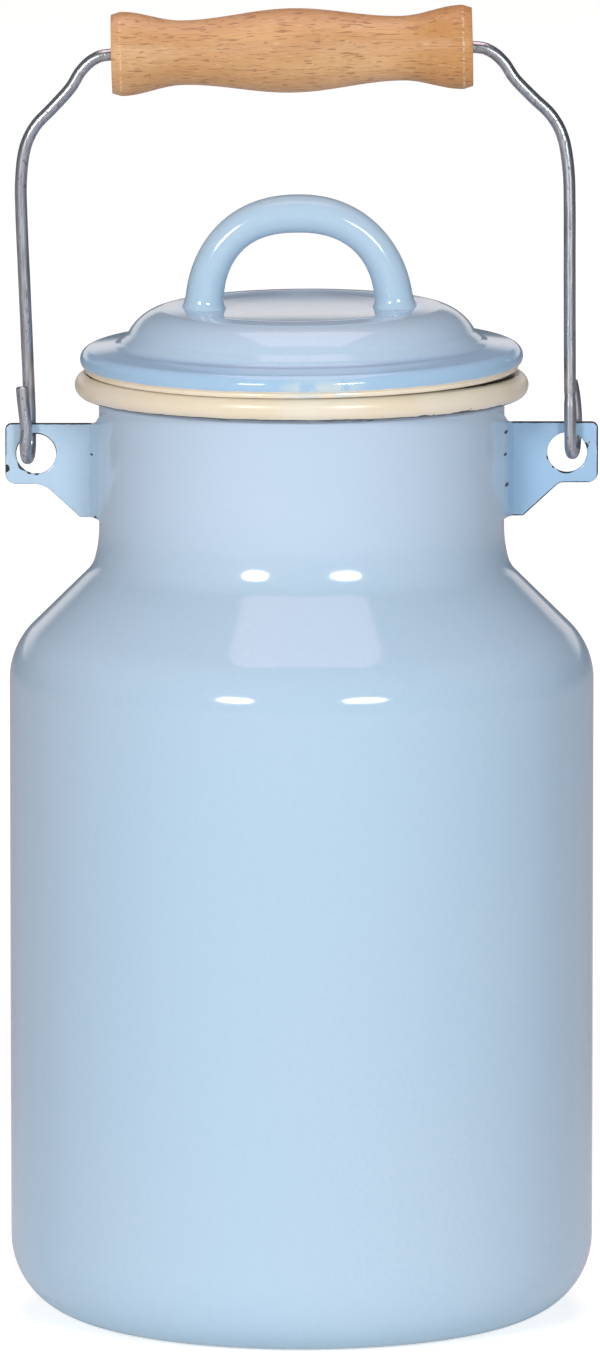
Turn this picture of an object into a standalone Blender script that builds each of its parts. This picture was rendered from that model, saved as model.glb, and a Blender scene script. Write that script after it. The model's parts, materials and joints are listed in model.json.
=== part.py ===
"""An enamelled milk pail with a loose lid, two welded ears and a wire bail with a turned wooden grip.

Metres, +Z up. The origin is the centre of the base, on the surface that the pail stands on. The
bail swings about an axis along X through the two ears, and the pail's front faces -Y.
"""

from math import acos, atan2, copysign, cos, degrees, pi, radians, sin, sqrt, tan

import bmesh
import bpy
from mathutils import Vector

# ------------------------------------------------------------------ driving dimensions, in metres
MM = 0.001

BODY_RADIUS = 70.0 * MM
BASE_CORNER = 19.0 * MM
SHOULDER_START = 153.7 * MM          # height at which the straight wall ends
SHOULDER_SLOPE = radians(45.5)       # the shoulder's cone, measured from the vertical
SHOULDER_FILLET = 18.0 * MM
NECK_FILLET = 10.5 * MM
NECK_RADIUS = 48.5 * MM
RIM_HEIGHT = 224.1 * MM              # centre of the rolled rim's round
RIM_RADIUS = 50.8 * MM
RIM_ROLL = 3.5 * MM                  # the roll's own radius
WALL = 1.0 * MM
BASE_RECESS = 1.5 * MM               # the floor stands up from the ring that the pail rests on
FOOT_WIDTH = 6.0 * MM

EAR_SHEET = 1.1 * MM
EAR_REACH = 70.9 * MM                # from the pail's axis to the ear's outer edge
EAR_TOP = 215.2 * MM
EAR_STEP = 200.5 * MM                # lower edge of the outer, square stretch
EAR_BOTTOM = 192.5 * MM
EAR_SLANT_OUTER = 61.7 * MM          # where the slanted lower edge starts
EAR_SLANT_INNER = 53.0 * MM          # and where it ends
EAR_FLANGE_TOP = 219.2 * MM
EAR_FLANGE_ANGLE = 20.0              # degrees of the neck that the welded flange covers
EAR_HOLE_X = 63.5 * MM
EAR_HOLE_Z = 207.8 * MM
EAR_HOLE_RADIUS = 4.8 * MM

WIRE_RADIUS = 1.45 * MM
PIVOT_Z = 213.65 * MM                # middle of the bridge of sheet above each ear's hole
HOOK_RADIUS = 3.6 * MM               # bend of the hook, on the wire's centre line
HOOK_CENTRE_Z = PIVOT_Z - 2.65 * MM
LEG_X = 64.6 * MM                    # the leg at the hook
HOOK_X = 65.0 * MM                   # the hook's free side
BAIL_LEAN = radians(1.2)             # the hand-bent bail stands a little higher on its right
BAIL_SHIFT = tan(radians(1.2))       # and leans to the left as it rises
LEAN_GROWTH = 40.0 * MM              # the lean builds up over this height
BAIL_OFFSET = -0.4 * MM              # its hooks stand a little left of the middle of the ears

GRIP_Z = 304.5 * MM
GRIP_LENGTH = 86.0 * MM
GRIP_END_RADIUS = 10.05 * MM
GRIP_WAIST_RADIUS = 7.7 * MM
GRIP_WAIST_X = 26.0 * MM
GRIP_BORE = 2.0 * MM
GRIP_CHAMFER = 2.2 * MM
GRIP_CHAMFER_DROP = 0.7 * MM

LID_SHIFT = -2.5 * MM                # the lid sits loose: pushed towards the front,
LID_TILT = radians(1.5)              # dipping to the front
LID_LEAN = radians(-0.5)             # and to the left
LID_SEAT_Z = 228.45 * MM             # height of the lip's lower edge on the lid's axis
LID_LIP_RADIUS = 51.6 * MM
LID_BRIM_RADIUS = 52.9 * MM
LID_BRIM_ROLL = 2.6 * MM
LID_BRIM_CENTRE = 3.0 * MM           # the brim's widest level, above the lip
LID_LIP_CHAMFER = (0.6 * MM, 0.5 * MM)
LID_CREASE_RADIUS = 44.0 * MM
LID_CREASE_Z = 6.5 * MM
LID_CREASE_CENTRE = (45.5 * MM, 8.8 * MM)
LID_CREASE_ROUND = 2.6 * MM          # the hollow between dome and brim, about that centre
LID_DOME_CENTRE = (31.0 * MM, 3.3 * MM)
LID_DOME_ROUND = 11.9 * MM           # the dome's shoulder, about that centre
LID_CREST_RADIUS = 28.5 * MM
LID_CREST_Z = 15.2 * MM
LID_CREST_ROUND = 1.5 * MM
LID_DISH = 0.5 * MM                  # the top disc lies this far below the crest
COLLAR_DEPTH = 14.0 * MM             # below the lip's lower edge
COLLAR_TAPER = 0.6 * MM              # its foot draws in, to find the neck
COLLAR_TAPER_HEIGHT = 2.0 * MM

HANDLE_TUBE = 4.6 * MM
HANDLE_WALL = 0.9 * MM
HANDLE_HALF_SPAN = 23.0 * MM
HANDLE_RISE = 24.4 * MM
HANDLE_SQUARENESS = 0.94            # 1 is half an ellipse, less is squarer at the shoulders
HANDLE_BASE_Z = 13.0 * MM            # level of the bow's widest point, above the lip
HANDLE_FOOT_Z = 15.2 * MM            # level of its cut ends, just clear of the crest

GAP = 0.3 * MM                       # left between pieces that touch
TURN_STEPS = 48
MERGE = 0.00001

COLLECTION = "enamel_milk_pail"


# ------------------------------------------------------------------ helpers
def clear_scene():
    for obj in list(bpy.data.objects):
        bpy.data.objects.remove(obj, do_unlink=True)


def collection(name):
    made = bpy.data.collections.new(name)
    bpy.context.scene.collection.children.link(made)
    return made


def principled(name, colour, roughness, metallic=0.0):
    material = bpy.data.materials.new(name)
    material.use_nodes = True
    shader = material.node_tree.nodes["Principled BSDF"]
    shader.inputs["Base Color"].default_value = (*colour, 1.0)
    shader.inputs["Roughness"].default_value = roughness
    shader.inputs["Metallic"].default_value = metallic
    return material


def arc(centre, radius, start, end, steps):
    """Points on a circle from start to end, in degrees, both ends included."""
    points = []
    for step in range(steps + 1):
        angle = radians(start + (end - start) * step / steps)
        points.append((centre[0] + radius * cos(angle), centre[1] + radius * sin(angle)))
    return points


def smooth_path(points, steps):
    """A Catmull-Rom curve through all the points, with that many steps between each two."""
    path = []
    last = len(points) - 1
    for index in range(last):
        before = points[max(index - 1, 0)]
        start = points[index]
        end = points[index + 1]
        after = points[min(index + 2, last)]
        for step in range(steps):
            t = step / steps
            path.append(
                0.5 * ((2 * start) + (end - before) * t
                       + (2 * before - 5 * start + 4 * end - after) * t ** 2
                       + (3 * start - before - 3 * end + after) * t ** 3)
            )
    path.append(points[last])
    return path


def smooth_shading(obj, angle=35.0):
    obj.data.shade_smooth()
    obj.data.set_sharp_from_angle(angle=radians(angle))


def turned(name, profile, into, material, steps=TURN_STEPS, closed=False):
    """A profile of (radius, height) points, turned about Z with a Screw modifier."""
    mesh = bpy.data.meshes.new(name)
    shape = bmesh.new()
    corners = [shape.verts.new((radius, 0.0, height)) for radius, height in profile]
    for first, second in zip(corners, corners[1:]):
        shape.edges.new((first, second))
    if closed:
        shape.edges.new((corners[-1], corners[0]))
    shape.to_mesh(mesh)
    shape.free()
    obj = bpy.data.objects.new(name, mesh)
    into.objects.link(obj)
    mesh.materials.append(material)
    screw = obj.modifiers.new("turn", "SCREW")
    screw.steps = steps
    screw.render_steps = steps
    screw.use_merge_vertices = True
    screw.merge_threshold = MERGE
    screw.use_smooth_shade = True
    return obj


def tube(name, path, radius, into, material, bevel_resolution=2):
    """A round bar along a path, as a curve with a bevel."""
    curve = bpy.data.curves.new(name, "CURVE")
    curve.dimensions = "3D"
    curve.bevel_depth = radius
    curve.bevel_resolution = bevel_resolution
    curve.render_resolution_u = 0
    curve.use_fill_caps = True
    spline = curve.splines.new("POLY")
    spline.points.add(len(path) - 1)
    for point, place in zip(spline.points, path):
        point.co = (*place, 1.0)
    curve.materials.append(material)
    obj = bpy.data.objects.new(name, curve)
    into.objects.link(obj)
    return obj


def flat_outline(name, outline, half_thickness, into):
    """A closed flat outline in the object's XY plane, thickened both ways along its Z."""
    curve = bpy.data.curves.new(name, "CURVE")
    curve.dimensions = "2D"
    curve.fill_mode = "BOTH"
    curve.extrude = half_thickness
    curve.render_resolution_u = 0
    spline = curve.splines.new("POLY")
    spline.points.add(len(outline) - 1)
    for point, place in zip(spline.points, outline):
        point.co = (*place, 0.0, 1.0)
    spline.use_cyclic_u = True
    obj = bpy.data.objects.new(name, curve)
    into.objects.link(obj)
    return obj


def as_mesh(obj, into):
    """Swap a curve object for a mesh object of the same name and place, with its caps welded."""
    bpy.context.view_layer.update()
    name = obj.name
    evaluated = obj.evaluated_get(bpy.context.evaluated_depsgraph_get())
    mesh = bpy.data.meshes.new_from_object(evaluated)
    shape = bmesh.new()
    shape.from_mesh(mesh)
    bmesh.ops.remove_doubles(shape, verts=shape.verts, dist=MERGE)
    bmesh.ops.recalc_face_normals(shape, faces=shape.faces)
    shape.to_mesh(mesh)
    shape.free()
    made = bpy.data.objects.new(name, mesh)
    made.matrix_world = obj.matrix_world.copy()
    bpy.data.objects.remove(obj, do_unlink=True)
    made.name = name
    into.objects.link(made)
    return made


def as_cutter(obj):
    obj.hide_render = True
    obj.display_type = "WIRE"
    return obj


def boolean(obj, cutter, operation):
    modifier = obj.modifiers.new(operation.lower(), "BOOLEAN")
    modifier.operation = operation
    modifier.solver = "EXACT"
    modifier.object = cutter
    return modifier


def empty(name, place, into):
    obj = bpy.data.objects.new(name, None)
    obj.location = place
    into.objects.link(obj)
    return obj


# ------------------------------------------------------------------ the can
def can_side(depth):
    """The can's side from the neck down to its foot, at a depth inside its outer skin."""
    slope = degrees(SHOULDER_SLOPE)
    lower_end = BODY_RADIUS - SHOULDER_FILLET * (1 - cos(SHOULDER_SLOPE))
    upper_end = NECK_RADIUS + NECK_FILLET * (1 - cos(SHOULDER_SLOPE))
    cone_height = (lower_end - upper_end) / tan(SHOULDER_SLOPE)
    fillets = (SHOULDER_FILLET + NECK_FILLET) * sin(SHOULDER_SLOPE)
    neck_foot = SHOULDER_START + fillets + cone_height
    profile = arc((NECK_RADIUS + NECK_FILLET, neck_foot), NECK_FILLET + depth, 180, 180 + slope, 4)
    profile += arc((BODY_RADIUS - SHOULDER_FILLET, SHOULDER_START), SHOULDER_FILLET - depth, slope, 0, 5)
    profile += arc((BODY_RADIUS - BASE_CORNER, BASE_CORNER), BASE_CORNER - depth, 0, -90, 7)
    foot_inner = BODY_RADIUS - BASE_CORNER - FOOT_WIDTH
    profile.append((foot_inner, depth))
    profile.append((foot_inner - 2 * BASE_RECESS, BASE_RECESS + depth))
    profile.append((0.0, BASE_RECESS + depth))
    return profile


def make_can(into, material):
    inner_start = degrees(acos((NECK_RADIUS - WALL - RIM_RADIUS) / RIM_ROLL))
    outer_end = -degrees(acos((NECK_RADIUS - RIM_RADIUS) / RIM_ROLL))
    rim = arc((RIM_RADIUS, RIM_HEIGHT), RIM_ROLL, inner_start, outer_end, 13)
    inside = list(reversed(can_side(WALL)))
    return turned("can_shell", inside + rim + can_side(0.0), into, material)


# ------------------------------------------------------------------ the ears
def ear_plan():
    """The right ear from above: a blade along X and a flange that wraps the neck to the front."""
    inner = NECK_RADIUS + GAP
    outer = inner + EAR_SHEET
    half = EAR_SHEET / 2
    bend = 1.2 * MM
    fillet = 0.6 * MM
    back_start = degrees(atan2(half - bend, inner))
    outline = [(EAR_REACH, -half), (EAR_REACH, half)]
    outline += arc((inner + bend, half - bend), bend, 90, 180, 4)
    outline += arc((0.0, 0.0), inner, back_start, -EAR_FLANGE_ANGLE, 6)[1:]
    fillet_y = -half - fillet
    fillet_x = sqrt((outer + fillet) ** 2 - fillet_y ** 2)
    front_end = degrees(atan2(fillet_y, fillet_x))
    outline += arc((0.0, 0.0), outer, -EAR_FLANGE_ANGLE, front_end, 6)
    outline += arc((fillet_x, fillet_y), fillet, 180 + front_end, 90, 3)[1:]
    return outline


def ear_side():
    """The right ear from the front: what is kept of the blade and its flange."""
    inner_x = NECK_RADIUS * cos(radians(EAR_FLANGE_ANGLE)) - 4 * MM
    outer_round = 1.8 * MM
    step_round = 2.2 * MM
    rise = EAR_FLANGE_TOP - EAR_TOP
    top_corner = (EAR_REACH - outer_round, EAR_TOP - outer_round)
    step_corner = (EAR_REACH - step_round, EAR_STEP + step_round)
    flange_corner = (NECK_RADIUS + rise + GAP, EAR_FLANGE_TOP)
    outline = [(inner_x, EAR_BOTTOM), (inner_x, EAR_FLANGE_TOP)]
    outline += arc(flange_corner, rise, 180, 270, 5)
    outline += arc(top_corner, outer_round, 90, 0, 4)
    outline += arc(step_corner, step_round, 0, -90, 4)
    outline += [(EAR_SLANT_OUTER, EAR_STEP), (EAR_SLANT_INNER, EAR_BOTTOM)]
    return outline


def make_ear(name, side, into, cutters, material):
    """One ear: its plan stood up, cut to its side view, with the hole. side is +1 right, -1 left."""
    blank_half = (EAR_FLANGE_TOP - EAR_BOTTOM) / 2 + 1 * MM
    plan = [(side * x, y) for x, y in ear_plan()]
    ear = flat_outline(name, plan, blank_half, into)
    ear.location.z = (EAR_FLANGE_TOP + EAR_BOTTOM) / 2
    ear = as_mesh(ear, into)
    ear.data.materials.append(material)

    front = [(side * x, z) for x, z in ear_side()]
    block = flat_outline(name + "_side_view", front, 40 * MM, cutters)
    block.rotation_euler.x = pi / 2
    boolean(ear, as_cutter(as_mesh(block, cutters)), "INTERSECT")

    bpy.ops.mesh.primitive_cylinder_add(vertices=32, radius=EAR_HOLE_RADIUS, depth=10 * MM)
    punch = bpy.context.object
    punch.name = name + "_hole"
    punch.rotation_euler.x = pi / 2
    punch.location = (side * EAR_HOLE_X, 0.0, EAR_HOLE_Z)
    for owner in list(punch.users_collection):
        owner.objects.unlink(punch)
    cutters.objects.link(punch)
    boolean(ear, as_cutter(punch), "DIFFERENCE")
    smooth_shading(ear)
    return ear


# ------------------------------------------------------------------ the bail
def half_bail():
    """The right half of the wire's centre line, from under the grip to the hook's free tip.

    The leg comes down in front of the ear, the hook passes back through the hole, and the free
    end stands up behind. y is worked out for the leg so that it runs straight to its hook.
    """
    outline = [
        (10.0, 304.5),
        (30.0, 304.5),
        (43.0, 304.4),
        (47.2, 303.4),
        (50.4, 300.6),
        (53.0, 296.6),
        (57.2, 292.1),
        (61.6, 287.6),
        (64.2, 282.2),
        (65.3, 274.5),
        (65.4, 266.0),
        (65.1, 250.0),
        (64.8, 232.0),
        (64.6, 218.0),
    ]
    drop = GRIP_Z - HOOK_CENTRE_Z
    points = []
    for x, z in outline:
        height = z * MM
        points.append(Vector((x * MM, -HOOK_RADIUS * (GRIP_Z - height) / drop, height)))
    path = smooth_path(points, 3)

    turns = 10
    for step in range(turns + 1):
        angle = pi * step / turns
        x = LEG_X + (HOOK_X - LEG_X) * (1 - cos(angle)) / 2
        y = -HOOK_RADIUS * cos(angle)
        path.append(Vector((x, y, HOOK_CENTRE_Z - HOOK_RADIUS * sin(angle))))

    bow = [(65.0, 213.5), (65.5, 216.5), (65.9, 220.0), (65.7, 224.7)]
    path += [Vector((x * MM, HOOK_RADIUS, z * MM)) for x, z in bow]
    return path


def lean(point):
    """Set the hand-bent frame askew, more the higher above the hooks."""
    rise = max(0.0, point.z - PIVOT_Z)
    grown = min(1.0, rise / LEAN_GROWTH)
    x = point.x + BAIL_OFFSET - rise * BAIL_SHIFT
    return Vector((x, point.y, point.z + point.x * tan(BAIL_LEAN) * grown))


def make_bail(into, material):
    right = half_bail()
    left = [Vector((-p.x, -p.y, p.z)) for p in right]
    path = [lean(p) for p in list(reversed(left)) + right]
    pivot = empty("bail_pivot", (0.0, 0.0, PIVOT_Z), into)
    wire = tube("bail_wire", [p - pivot.location for p in path], WIRE_RADIUS, into, material)
    wire.parent = pivot
    return pivot


def grip_radius(x):
    """The turned handgrip: a bulge in the middle, a waist each side and full ends."""
    swell = GRIP_END_RADIUS - GRIP_WAIST_RADIUS
    distance = abs(x)
    if distance < GRIP_WAIST_X:
        return GRIP_WAIST_RADIUS + swell * (1 + cos(pi * distance / GRIP_WAIST_X)) / 2
    run = GRIP_LENGTH / 2 - GRIP_CHAMFER - GRIP_WAIST_X
    share = min(1.0, (distance - GRIP_WAIST_X) / run)
    return GRIP_WAIST_RADIUS + swell * (1 - cos(pi * share)) / 2


def make_grip(into, material, pivot):
    """The grip turns on the wire: turned about its own Z, which lies along the wire."""
    half = GRIP_LENGTH / 2
    steps = 22
    end_radius = GRIP_END_RADIUS - GRIP_CHAMFER_DROP
    outside = [(end_radius, half)]
    for step in range(steps + 1):
        height = (half - GRIP_CHAMFER) * (1 - 2 * step / steps)
        outside.append((grip_radius(height), height))
    outside.append((end_radius, -half))
    profile = outside + [(GRIP_BORE, -half), (GRIP_BORE, half)]
    grip = turned("grip", profile, into, material, steps=24, closed=True)
    rise = GRIP_Z - PIVOT_Z
    grip.location = (BAIL_OFFSET - rise * BAIL_SHIFT, 0.0, rise)
    grip.rotation_euler = (0.0, pi / 2 - BAIL_LEAN, 0.0)
    grip.parent = pivot
    return grip


# ------------------------------------------------------------------ the lid
def lid_surface():
    """The lid's outer skin, from its axis out over the crest, dome and brim to the lip."""
    disc_z = LID_CREST_Z - LID_DISH
    profile = [(0.0, disc_z), (LID_CREST_RADIUS - 2 * LID_CREST_ROUND, disc_z)]
    profile += arc((LID_CREST_RADIUS, LID_CREST_Z - LID_CREST_ROUND), LID_CREST_ROUND, 130, 90, 2)
    profile += arc(LID_DOME_CENTRE, LID_DOME_ROUND, 82, 28, 5)
    profile += arc(LID_CREASE_CENTRE, LID_CREASE_ROUND, 205, 258, 2)
    roll = (LID_BRIM_RADIUS - LID_BRIM_ROLL, LID_BRIM_CENTRE)
    profile += arc(roll, LID_BRIM_ROLL, 78, -18, 6)
    profile.append((LID_LIP_RADIUS + LID_LIP_CHAMFER[0], LID_LIP_CHAMFER[1]))
    profile.append((LID_LIP_RADIUS, 0.0))
    return profile


def make_lid(into, cutters, enamel, cream):
    seat = empty("lid_seat", (0.0, LID_SHIFT, LID_SEAT_Z), into)
    seat.rotation_euler = (LID_TILT, LID_LEAN, 0.0)

    shell = turned("lid_shell", lid_surface(), into, enamel)
    skin = shell.modifiers.new("sheet", "SOLIDIFY")
    skin.thickness = WALL
    skin.offset = -1.0
    skin.use_even_offset = True
    shell.parent = seat

    top = LID_CREASE_Z - WALL - GAP
    outer = LID_CREASE_RADIUS
    taper_start = COLLAR_TAPER_HEIGHT - COLLAR_DEPTH
    foot = outer - COLLAR_TAPER
    ring = [(outer - WALL, top), (outer, top), (outer, taper_start)]
    ring += [(foot, -COLLAR_DEPTH), (foot - WALL, -COLLAR_DEPTH), (outer - WALL, taper_start)]
    collar = turned("lid_collar", ring, into, cream, closed=True)
    collar.parent = seat

    handle = make_lid_handle(into, cutters, enamel)
    handle.parent = seat
    cutters.objects["lid_handle_floor"].parent = seat
    return seat


def handle_path():
    """The bow's centre line: an arch a little squarer than half an ellipse, on short straight legs."""
    stations = 30
    leg_end = HANDLE_FOOT_Z - 4 * MM
    path = [Vector((HANDLE_HALF_SPAN, 0.0, leg_end))]
    for station in range(stations + 1):
        angle = pi * station / stations
        across = copysign(abs(cos(angle)) ** HANDLE_SQUARENESS, cos(angle))
        up = abs(sin(angle)) ** HANDLE_SQUARENESS
        path.append(Vector((HANDLE_HALF_SPAN * across, 0.0, HANDLE_BASE_Z + HANDLE_RISE * up)))
    path.append(Vector((-HANDLE_HALF_SPAN, 0.0, leg_end)))
    return path


def make_lid_handle(into, cutters, material):
    """A hollow bow, cut off level so that it stands on the crest."""
    outside = tube("lid_handle", handle_path(), HANDLE_TUBE, into, material, 5)
    outside = as_mesh(outside, into)
    if not outside.data.materials:
        outside.data.materials.append(material)
    bore = tube("lid_handle_bore", handle_path(), HANDLE_TUBE - HANDLE_WALL, cutters, material, 3)
    bore = as_cutter(as_mesh(bore, cutters))
    bore.parent = outside

    bpy.ops.mesh.primitive_cube_add(size=1.0)
    floor = as_cutter(bpy.context.object)
    floor.name = "lid_handle_floor"
    floor.scale = (80 * MM, 30 * MM, 30 * MM)
    floor.location.z = HANDLE_FOOT_Z - 15 * MM
    for owner in list(floor.users_collection):
        owner.objects.unlink(floor)
    cutters.objects.link(floor)
    boolean(outside, bore, "DIFFERENCE")
    boolean(outside, floor, "DIFFERENCE")
    smooth_shading(outside)
    return outside


# ------------------------------------------------------------------ assembly
def build():
    clear_scene()
    parts = collection(COLLECTION)
    cutters = collection("cutters")

    blue_enamel = principled("blue_enamel", (0.45, 0.62, 0.78), 0.12)
    lid_enamel = principled("lid_enamel", (0.45, 0.60, 0.78), 0.12)
    cream_enamel = principled("cream_enamel", (0.86, 0.76, 0.60), 0.15)
    ear_enamel = principled("ear_enamel", (0.42, 0.60, 0.77), 0.15)
    steel = principled("wire_steel", (0.55, 0.55, 0.57), 0.30, 1.0)
    beech = principled("beech", (0.62, 0.36, 0.16), 0.45)

    make_can(parts, blue_enamel)
    make_ear("right_ear", 1, parts, cutters, ear_enamel)
    make_ear("left_ear", -1, parts, cutters, ear_enamel)
    pivot = make_bail(parts, steel)
    make_grip(parts, beech, pivot)
    make_lid(parts, cutters, lid_enamel, cream_enamel)
    bpy.context.view_layer.update()


build()
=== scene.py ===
"""The looks of an enamelled milk pail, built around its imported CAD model.

Every CAD node is stood for by a finer piece of the same shape: glossy blue and cream enamel with
its worn, bare edges, a drawn steel bail and a turned beech grip. Metres, +Z up, front at -Y.
Extents and joint places come from the frame; the other measures are those of the CAD model.
"""

import json
from math import atan2, copysign, cos, degrees, exp, pi, radians, sin, sqrt, tan

import bmesh
import bpy
from mathutils import Matrix, Vector


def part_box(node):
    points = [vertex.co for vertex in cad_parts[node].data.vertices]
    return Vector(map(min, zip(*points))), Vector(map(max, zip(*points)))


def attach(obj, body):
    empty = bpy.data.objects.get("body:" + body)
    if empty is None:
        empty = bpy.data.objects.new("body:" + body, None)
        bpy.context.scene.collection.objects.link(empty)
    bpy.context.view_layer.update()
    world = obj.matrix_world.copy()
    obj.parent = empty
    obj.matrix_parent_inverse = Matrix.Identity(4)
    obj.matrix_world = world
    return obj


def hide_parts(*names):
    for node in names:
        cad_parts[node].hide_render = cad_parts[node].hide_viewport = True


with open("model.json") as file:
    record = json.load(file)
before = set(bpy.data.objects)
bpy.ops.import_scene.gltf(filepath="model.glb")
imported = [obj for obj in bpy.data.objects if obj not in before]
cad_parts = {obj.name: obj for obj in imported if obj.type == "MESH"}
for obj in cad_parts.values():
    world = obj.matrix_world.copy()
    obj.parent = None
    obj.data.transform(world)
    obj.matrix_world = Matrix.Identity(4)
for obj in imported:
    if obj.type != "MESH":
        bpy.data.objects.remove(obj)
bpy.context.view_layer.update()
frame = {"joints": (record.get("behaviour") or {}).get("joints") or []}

# ------------------------------------------------------------------ measures, in metres
MM = 0.001

CAN_LOW, CAN_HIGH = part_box("can_shell")
BODY_RADIUS = CAN_HIGH.x
BASE_CORNER = 19.0 * MM
SHOULDER_START = 153.7 * MM
SHOULDER_SLOPE = radians(45.5)
SHOULDER_FILLET = 18.0 * MM
NECK_FILLET_UPPER = 30.0 * MM
NECK_FILLET_LOWER = 7.5 * MM
NECK_FILLET_CHANGE = 15.0            # degrees at which the upper arc passes into the lower
NECK_RADIUS = 48.5 * MM
RIM_ROLL = 3.05 * MM                 # the roll's own radius
RIM_RADIUS = 51.2 * MM               # and its centre line's
RIM_HEIGHT = CAN_HIGH.z - RIM_ROLL
RIM_FOOT = -92.0                     # degrees round the roll at which it closes onto the neck
RIM_FOOT_Z = RIM_HEIGHT + RIM_ROLL * sin(radians(RIM_FOOT))
SHEET = 1.0 * MM
BASE_RECESS = 1.5 * MM
FOOT_WIDTH = 6.0 * MM

EAR_LOW, EAR_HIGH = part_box("right_ear")
EAR_SHEET = 1.1 * MM
EAR_REACH = EAR_HIGH.x
EAR_BOTTOM = EAR_LOW.z
EAR_FLANGE_TOP = EAR_HIGH.z
EAR_TOP = 215.2 * MM
EAR_STEP = 200.5 * MM
EAR_SLANT_OUTER = 61.7 * MM
EAR_SLANT_INNER = 53.0 * MM
EAR_FLANGE_ANGLE = 20.0
EAR_FOLD = 1.6 * MM                  # round between blade and flange
EAR_HOLE_X = 63.5 * MM
EAR_HOLE_Z = 207.8 * MM
EAR_HOLE_RADIUS = 4.75 * MM
EAR_WELD = 0.4 * MM                  # depth to which an ear runs into the neck
EAR_VOXEL = 0.2 * MM
RIGHT_EAR_LIFT = 0.4 * MM            # the right ear is welded on a hair higher
RIGHT_EAR_FILLET = 1.0 * MM
LEFT_EAR_FILLET = 2.6 * MM

JOINT_PLACES = {joint["name"]: joint.get("pos_m") for joint in frame["joints"]}
PIVOT_Z = JOINT_PLACES["bail_swing"][2]
WIRE_RADIUS = 1.45 * MM
HOOK_RADIUS = 3.6 * MM
HOOK_CENTRE_Z = PIVOT_Z - 2.65 * MM
LEG_X = 64.6 * MM
HOOK_X = 65.9 * MM
HOOK_DROP = 3.1 * MM                 # depth of the hook's round below its centre
LEFT_HOOK_X = 65.6 * MM
LEFT_HOOK_DROP = 4.3 * MM
BAIL_LEAN = radians(1.2)
BAIL_SHIFT = tan(BAIL_LEAN)
LEAN_GROWTH = 40.0 * MM
BAIL_OFFSET = -0.4 * MM

GRIP_PLACE = Vector(JOINT_PLACES["grip_spin"])
GRIP_Z = GRIP_PLACE.z
GRIP_LENGTH = 86.0 * MM
GRIP_END_RADIUS = 10.05 * MM
GRIP_WAIST_RADIUS = 7.7 * MM
GRIP_WAIST_X = 26.0 * MM
GRIP_BORE = 2.0 * MM
GRIP_CHAMFER = 2.2 * MM
GRIP_CHAMFER_DROP = 0.7 * MM

LID_SEAT = Vector((0.0, -2.5 * MM, 228.45 * MM))
LID_TILT = radians(1.5)
LID_LEAN = radians(-0.5)
LIP_RADIUS = 51.6 * MM
BRIM_RADIUS = 52.9 * MM
BRIM_ROLL = 2.6 * MM
BRIM_CENTRE = 3.0 * MM
CREASE_CENTRE = (45.5 * MM, 8.8 * MM)
CREASE_ROUND = 2.6 * MM
DOME_CENTRE = (31.0 * MM, 3.3 * MM)
DOME_ROUND = 11.9 * MM
DISC_RADIUS = 24.0 * MM
DISC_Z = 14.8 * MM
CREST_RADIUS = 28.6 * MM
CREST_Z = 15.3 * MM
COLLAR_RADIUS = 44.0 * MM
COLLAR_TOP = 5.2 * MM
COLLAR_DEPTH = 14.0 * MM
COLLAR_TAPER = 0.6 * MM

HANDLE_TUBE = 4.6 * MM
HANDLE_RIGHT_SPAN = 22.9 * MM
HANDLE_LEFT_SPAN = 22.6 * MM
HANDLE_OFFSET = -0.6 * MM
HANDLE_BASE_Z = 13.0 * MM
HANDLE_RISE = 24.4 * MM
HANDLE_RIGHT_SQUARENESS = 0.90
HANDLE_LEFT_SQUARENESS = 0.86
HANDLE_THINNING = 0.07
HANDLE_FLARE = 1.2 * MM
HANDLE_FLARE_HEIGHT = 4.5 * MM

SEGMENTS = 256
MERGE = 1e-6

# ------------------------------------------------------------------ studio, in metres and degrees
CAMERA_PLACE = (-0.0004, -3.04, 0.568)
CAMERA_DIP = 7.753
CAMERA_LENS = 340.7
LIGHT_TARGET = (0.0, 0.0, 0.17)
SIDE_BOX_DISTANCE = 4.0
SIDE_BOX_ELEVATION = 15.8
LEFT_BOX_AZIMUTH = -26.6
RIGHT_BOX_AZIMUTH = 25.1
TOP_BOX_PLACE = (0.04, 0.165, 2.2)
FLOOR_RADIUS = 12.0


# ------------------------------------------------------------------ mesh helpers
def arc(centre, radius, start, end, steps):
    """Points on a circle from start to end, in degrees, both ends included."""
    points = []
    for step in range(steps + 1):
        angle = radians(start + (end - start) * step / steps)
        points.append((centre[0] + radius * cos(angle), centre[1] + radius * sin(angle)))
    return points


def rounded(points, radius, steps=4):
    """A polyline with its inner corners rounded."""
    path = [points[0]]
    for before, corner, after in zip(points, points[1:], points[2:]):
        corner = Vector(corner)
        back = Vector(before) - corner
        ahead = Vector(after) - corner
        reach = min(radius, back.length / 2, ahead.length / 2)
        start = corner + back.normalized() * reach
        end = corner + ahead.normalized() * reach
        for step in range(steps + 1):
            t = step / steps
            path.append(tuple(start * (1 - t) ** 2 + corner * 2 * t * (1 - t) + end * t ** 2))
    path.append(points[-1])
    return path


def smooth_path(points, steps):
    """A Catmull-Rom curve through all the points, with that many steps between each two."""
    path = []
    last = len(points) - 1
    for index in range(last):
        before = points[max(index - 1, 0)]
        start = points[index]
        end = points[index + 1]
        after = points[min(index + 2, last)]
        for step in range(steps):
            t = step / steps
            path.append(
                0.5 * ((2 * start) + (end - before) * t
                       + (2 * before - 5 * start + 4 * end - after) * t ** 2
                       + (3 * start - before - 3 * end + after) * t ** 3)
            )
    path.append(points[last])
    return path


def smoothstep(low, high, value):
    t = min(1.0, max(0.0, (value - low) / (high - low)))
    return t * t * (3 - 2 * t)


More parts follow.
